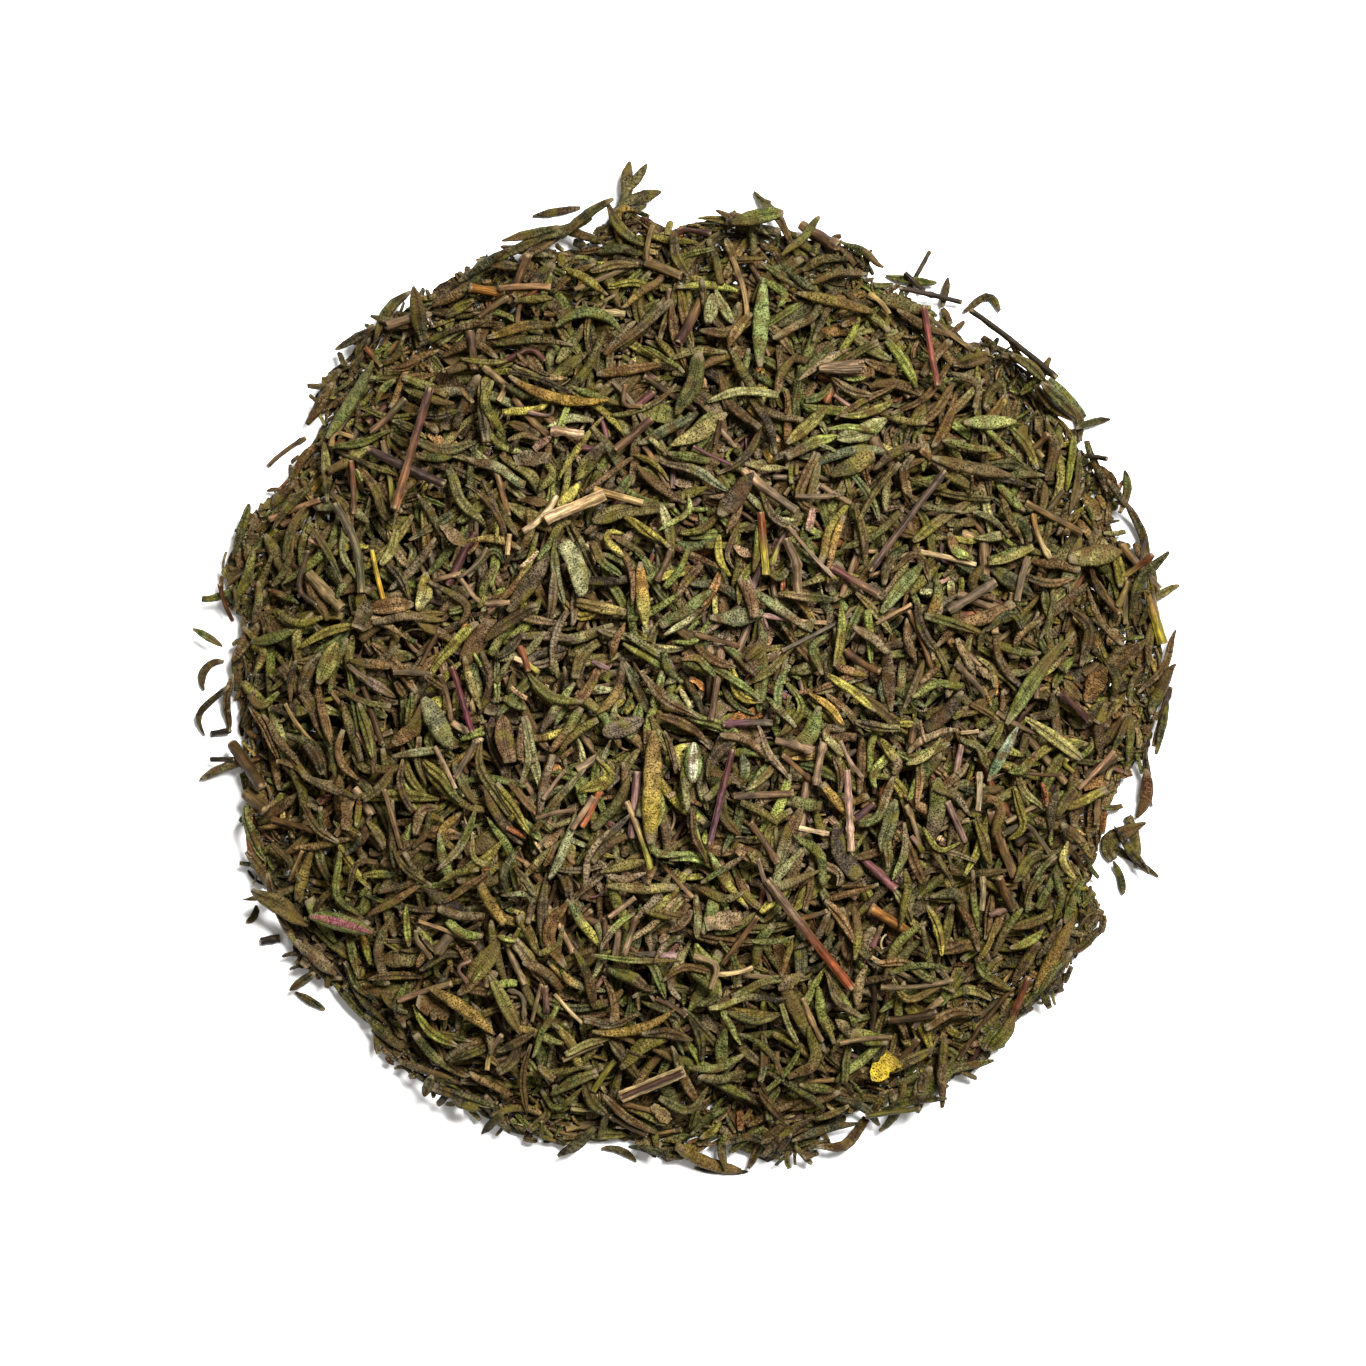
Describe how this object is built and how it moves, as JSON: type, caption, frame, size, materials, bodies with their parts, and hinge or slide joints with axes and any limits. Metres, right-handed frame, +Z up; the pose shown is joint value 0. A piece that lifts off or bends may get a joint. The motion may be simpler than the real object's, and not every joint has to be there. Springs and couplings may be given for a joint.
{
  "type": "dried thyme heap",
  "caption": "Low round heap of loose dried thyme: curled leaves, bits of stem, a bud, a calyx and a sprig tip, lying as a flat disc on a surface.",
  "frame": {"origin": "on the surface that the heap lies on, under the middle of its bounding box", "axes": "+Z up; +Y towards the side with the sprig tip; +X to the right as seen from above"},
  "size_m": [0.1002, 0.1042, 0.0125],
  "materials": {
    "packed_leaves": "closely packed dry thyme leaves and bits of stem, green, olive and brown, matt",
    "green_leaf": "dry grey-green leaf, matt, with tiny dark gland pits",
    "bright_green_leaf": "dry fresh green leaf, matt",
    "pale_green_leaf": "dry pale green leaf, matt",
    "olive_leaf": "dry olive leaf, matt",
    "yellow_green_leaf": "dry yellow-green leaf, matt",
    "golden_leaf": "dry golden leaf, faintly waxy",
    "brown_leaf": "dry brown leaf, matt",
    "grey_brown_leaf_surface": "dry grey-brown leaf, matt",
    "dark_brown_plant": "dry dark brown leaf or twig, matt",
    "straw": "split pale straw, fibrous, faint gloss",
    "tan_stem": "dry tan stem, fibrous",
    "rust_stem": "dry red-brown stem bark, faint gloss",
    "plum_stem": "dry purple-brown bark or leaf, faint gloss",
    "pink_tan_stem": "dry pinkish stem, hairy",
    "yellow_plant": "dry yellow scrap, thin"
  },
  "bodies": {
    "root": {"packed_leaves": "packed_leaves", "bent_tan_stem": "tan_stem", "blunt_grey_leaf": "grey_brown_leaf_surface", "broad_brown_leaf": "brown_leaf", "broad_olive_leaf": "olive_leaf", "curled_golden_leaf": "golden_leaf", "curved_green_leaf": "green_leaf", "curved_yellow_green_leaf": "yellow_green_leaf", "dark_brown_twig": "dark_brown_plant", "dark_oval_leaf": "dark_brown_plant", "dark_rim_twig": "dark_brown_plant", "dried_calyx": "tan_stem", "folded_leaf": "pale_green_leaf", "golden_curved_leaf": "golden_leaf", "green_bud": "pale_green_leaf", "green_gold_leaf": "golden_leaf", "grey_brown_leaf": "grey_brown_leaf_surface", "hooked_green_leaf": "green_leaf", "knotted_twig": "tan_stem", "large_brown_leaf": "brown_leaf", "large_green_leaf": "bright_green_leaf", "left_purple_stem": "plum_stem", "left_rim_stem": "rust_stem", "long_brown_leaf": "brown_leaf", "long_brown_twig": "grey_brown_leaf_surface", "long_green_leaf": "green_leaf", "long_red_stem": "rust_stem", "long_red_yellow_stem": "rust_stem", "long_yellow_green_leaf": "yellow_green_leaf", "ochre_leaf": "golden_leaf", "outer_bottom_leaf": "dark_brown_plant", "outer_dark_twig": "dark_brown_plant", "outer_left_leaf": "green_leaf", "outer_right_leaf": "green_leaf", "outer_yellow_stem": "yellow_green_leaf", "pale_backed_leaf": "green_leaf", "pale_edged_leaf": "pale_green_leaf", "pink_lined_leaf": "grey_brown_leaf_surface", "pink_noded_stem": "pink_tan_stem", "pink_rim_stem": "rust_stem", "pithy_stem": "straw", "plump_green_leaf": "green_leaf", "plump_yellow_leaf": "yellow_green_leaf", "purple_leaf": "plum_stem", "purple_stem": "plum_stem", "red_brown_hollow_stem": "rust_stem", "red_purple_stem": "plum_stem", "red_stem": "rust_stem", "red_yellow_stem": "rust_stem", "short_gold_leaf": "golden_leaf", "short_golden_leaf": "golden_leaf", "slanting_olive_leaf": "yellow_green_leaf", "straw_chip": "straw", "straw_stem": "straw", "thin_straw_stem": "straw", "top_sprig": "green_leaf", "wide_golden_leaf": "golden_leaf", "wide_olive_leaf": "olive_leaf", "yellow_flake": "yellow_plant", "yellow_thread_stem": "yellow_plant"}
  },
  "joints": []
}
